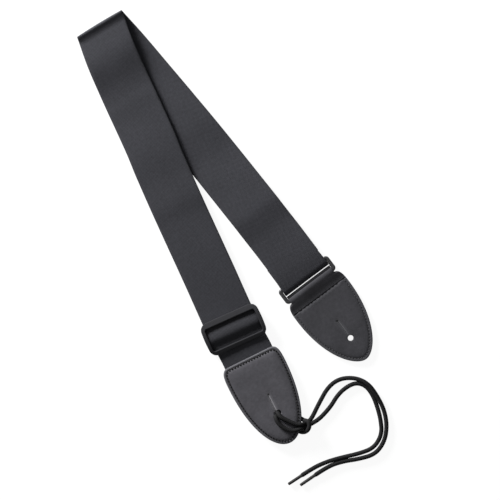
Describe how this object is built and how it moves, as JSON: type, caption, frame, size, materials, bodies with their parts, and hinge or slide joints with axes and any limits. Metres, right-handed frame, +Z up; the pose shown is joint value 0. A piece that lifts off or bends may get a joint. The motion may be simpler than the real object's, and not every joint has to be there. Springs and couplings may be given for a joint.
{
  "type": "guitar strap",
  "caption": "Adjustable guitar strap of woven webbing with a slider, a ring, padded leather ends, a button hole and a tie lace, lying flat and folded over itself.",
  "frame": {"origin": "centre of the button hole in the leather end on the ring, at the surface the strap lies on", "axes": "+Y from the button hole towards the fold, +Z up from the surface, +X to the right when seen from above with the fold away from the viewer"},
  "size_m": [0.1524, 0.4861, 0.014],
  "materials": {
    "webbing": "woven cross rib, matte",
    "leather": "smooth black grain, satin",
    "foam": "soft padding",
    "thread": "black sewing thread",
    "lace": "round braid, matte",
    "lace_tip": "shrunk sleeve, satin",
    "slider_plastic": "moulded black, satin",
    "ring_metal": "black enamel"
  },
  "bodies": {
    "strap": {"webbing_left_main": "webbing", "webbing_left_under": "webbing", "webbing_right_lower": "webbing", "webbing_right_upper": "webbing", "webbing_ring_loop": "webbing", "lace_end_back_panel": "leather", "lace_end_foam_core": "foam", "lace_end_front_panel": "leather", "lace_end_seam": "thread", "lace_hitch": "lace", "lace_strand_1": "lace", "lace_strand_2": "lace", "lace_tip_1": "lace_tip", "lace_tip_2": "lace_tip"},
    "slider": {"slider": "slider_plastic", "webbing_tail_loop": "webbing", "tail_box_stitch": "thread"},
    "fold": {"webbing_fold_outer": "webbing", "webbing_fold_inner": "webbing"},
    "ring": {"ring": "ring_metal"},
    "button_end": {"button_end_outer_panel": "leather", "button_end_foam_core": "foam", "button_end_lining": "leather", "button_end_edge_seam": "thread", "button_end_tab_seam": "thread"}
  },
  "joints": [
    {"name": "slider_adjust", "type": "slide", "parent": "strap", "child": "slider", "axis": [0.1236, 0.9923, 0], "range_m": [0, 0.096], "deforming": ["webbing_left_under"]},
    {"name": "fold_travel", "type": "slide", "parent": "strap", "child": "fold", "axis": [0, 1, 0], "range_m": [0, 0.024]},
    {"name": "ring_turn", "type": "hinge", "parent": "strap", "child": "ring", "pos_m": [-0.00749, 0.07503, 0.0032], "axis": [0.9951, 0.0993, 0], "range_deg": [-90, 90]},
    {"name": "button_end_turn", "type": "hinge", "parent": "ring", "child": "button_end", "pos_m": [-0.00619, 0.06199, 0.0032], "axis": [0.9951, 0.0993, 0], "range_deg": [-90, 90]}
  ],
  "couplings": [
    {"joint": "fold_travel", "follows": "slider_adjust", "ratio": 0.25}
  ]
}
